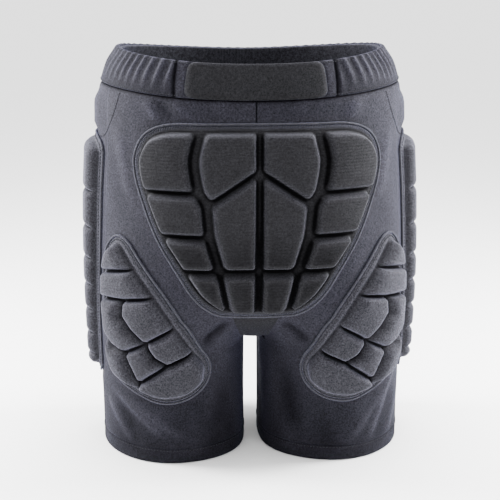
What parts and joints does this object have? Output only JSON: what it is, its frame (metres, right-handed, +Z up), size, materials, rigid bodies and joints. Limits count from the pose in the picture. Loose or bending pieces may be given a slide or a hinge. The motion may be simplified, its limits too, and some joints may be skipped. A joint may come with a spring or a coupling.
{
  "type": "padded impact shorts",
  "caption": "Close-fitting mid-thigh shorts with moulded foam cell pads on the seat, backs of the thighs and hips, and a wide elastic waistband.",
  "frame": {"origin": "centre of the footprint, at the height of the two hems", "axes": "+Z up from hems to waist, +Y towards the front of the garment, +X towards the wearer's right side"},
  "size_m": [0.3348, 0.2293, 0.3968],
  "materials": {
    "shell_fabric": "matte stretch knit with a fine heather grain",
    "pad_fabric": "matte knit laminated to moulded foam",
    "trim": "matte dark knit and binding",
    "lining_mesh": "matte mesh",
    "elastic": "matte woven elastic",
    "foam": "matte closed-cell foam"
  },
  "bodies": {
    "root": {"left_back_panel": "shell_fabric", "right_back_panel": "shell_fabric", "left_front_panel": "shell_fabric", "right_front_panel": "shell_fabric", "left_side_panel": "shell_fabric", "right_side_panel": "shell_fabric", "crotch_gusset": "trim", "left_hem_band": "shell_fabric", "right_hem_band": "shell_fabric", "waist_patch": "trim", "left_waistband": "shell_fabric", "right_waistband": "shell_fabric", "waist_elastic": "elastic", "waist_facing": "lining_mesh", "seat_pad_base": "pad_fabric", "seat_cells_upper_inner": "pad_fabric", "seat_cells_upper_outer": "pad_fabric", "seat_cells_middle_inner": "pad_fabric", "seat_cells_middle_outer": "pad_fabric", "seat_cells_lower_outer": "pad_fabric", "seat_cells_tail_inner": "pad_fabric", "seat_cells_tail_outer": "pad_fabric", "seat_pad_piping": "trim", "seat_pad_lining": "lining_mesh", "left_thigh_pad_base": "pad_fabric", "right_thigh_pad_base": "pad_fabric", "left_thigh_pad_cells": "pad_fabric", "right_thigh_pad_cells": "pad_fabric", "left_thigh_pad_piping": "trim", "right_thigh_pad_piping": "trim", "left_thigh_pad_lining": "lining_mesh", "right_thigh_pad_lining": "lining_mesh", "left_hip_pad_base": "pad_fabric", "right_hip_pad_base": "pad_fabric", "left_hip_pad_cells": "pad_fabric", "right_hip_pad_cells": "pad_fabric", "left_hip_pad_piping": "trim", "right_hip_pad_piping": "trim", "left_hip_pad_lining": "lining_mesh", "right_hip_pad_lining": "lining_mesh", "left_upper_hip_foam": "foam", "right_upper_hip_foam": "foam", "left_upper_hip_pocket": "lining_mesh", "right_upper_hip_pocket": "lining_mesh", "centre_back_tape": "trim", "centre_front_tape": "trim", "left_inseam_tape": "trim", "right_inseam_tape": "trim"}
  },
  "joints": []
}
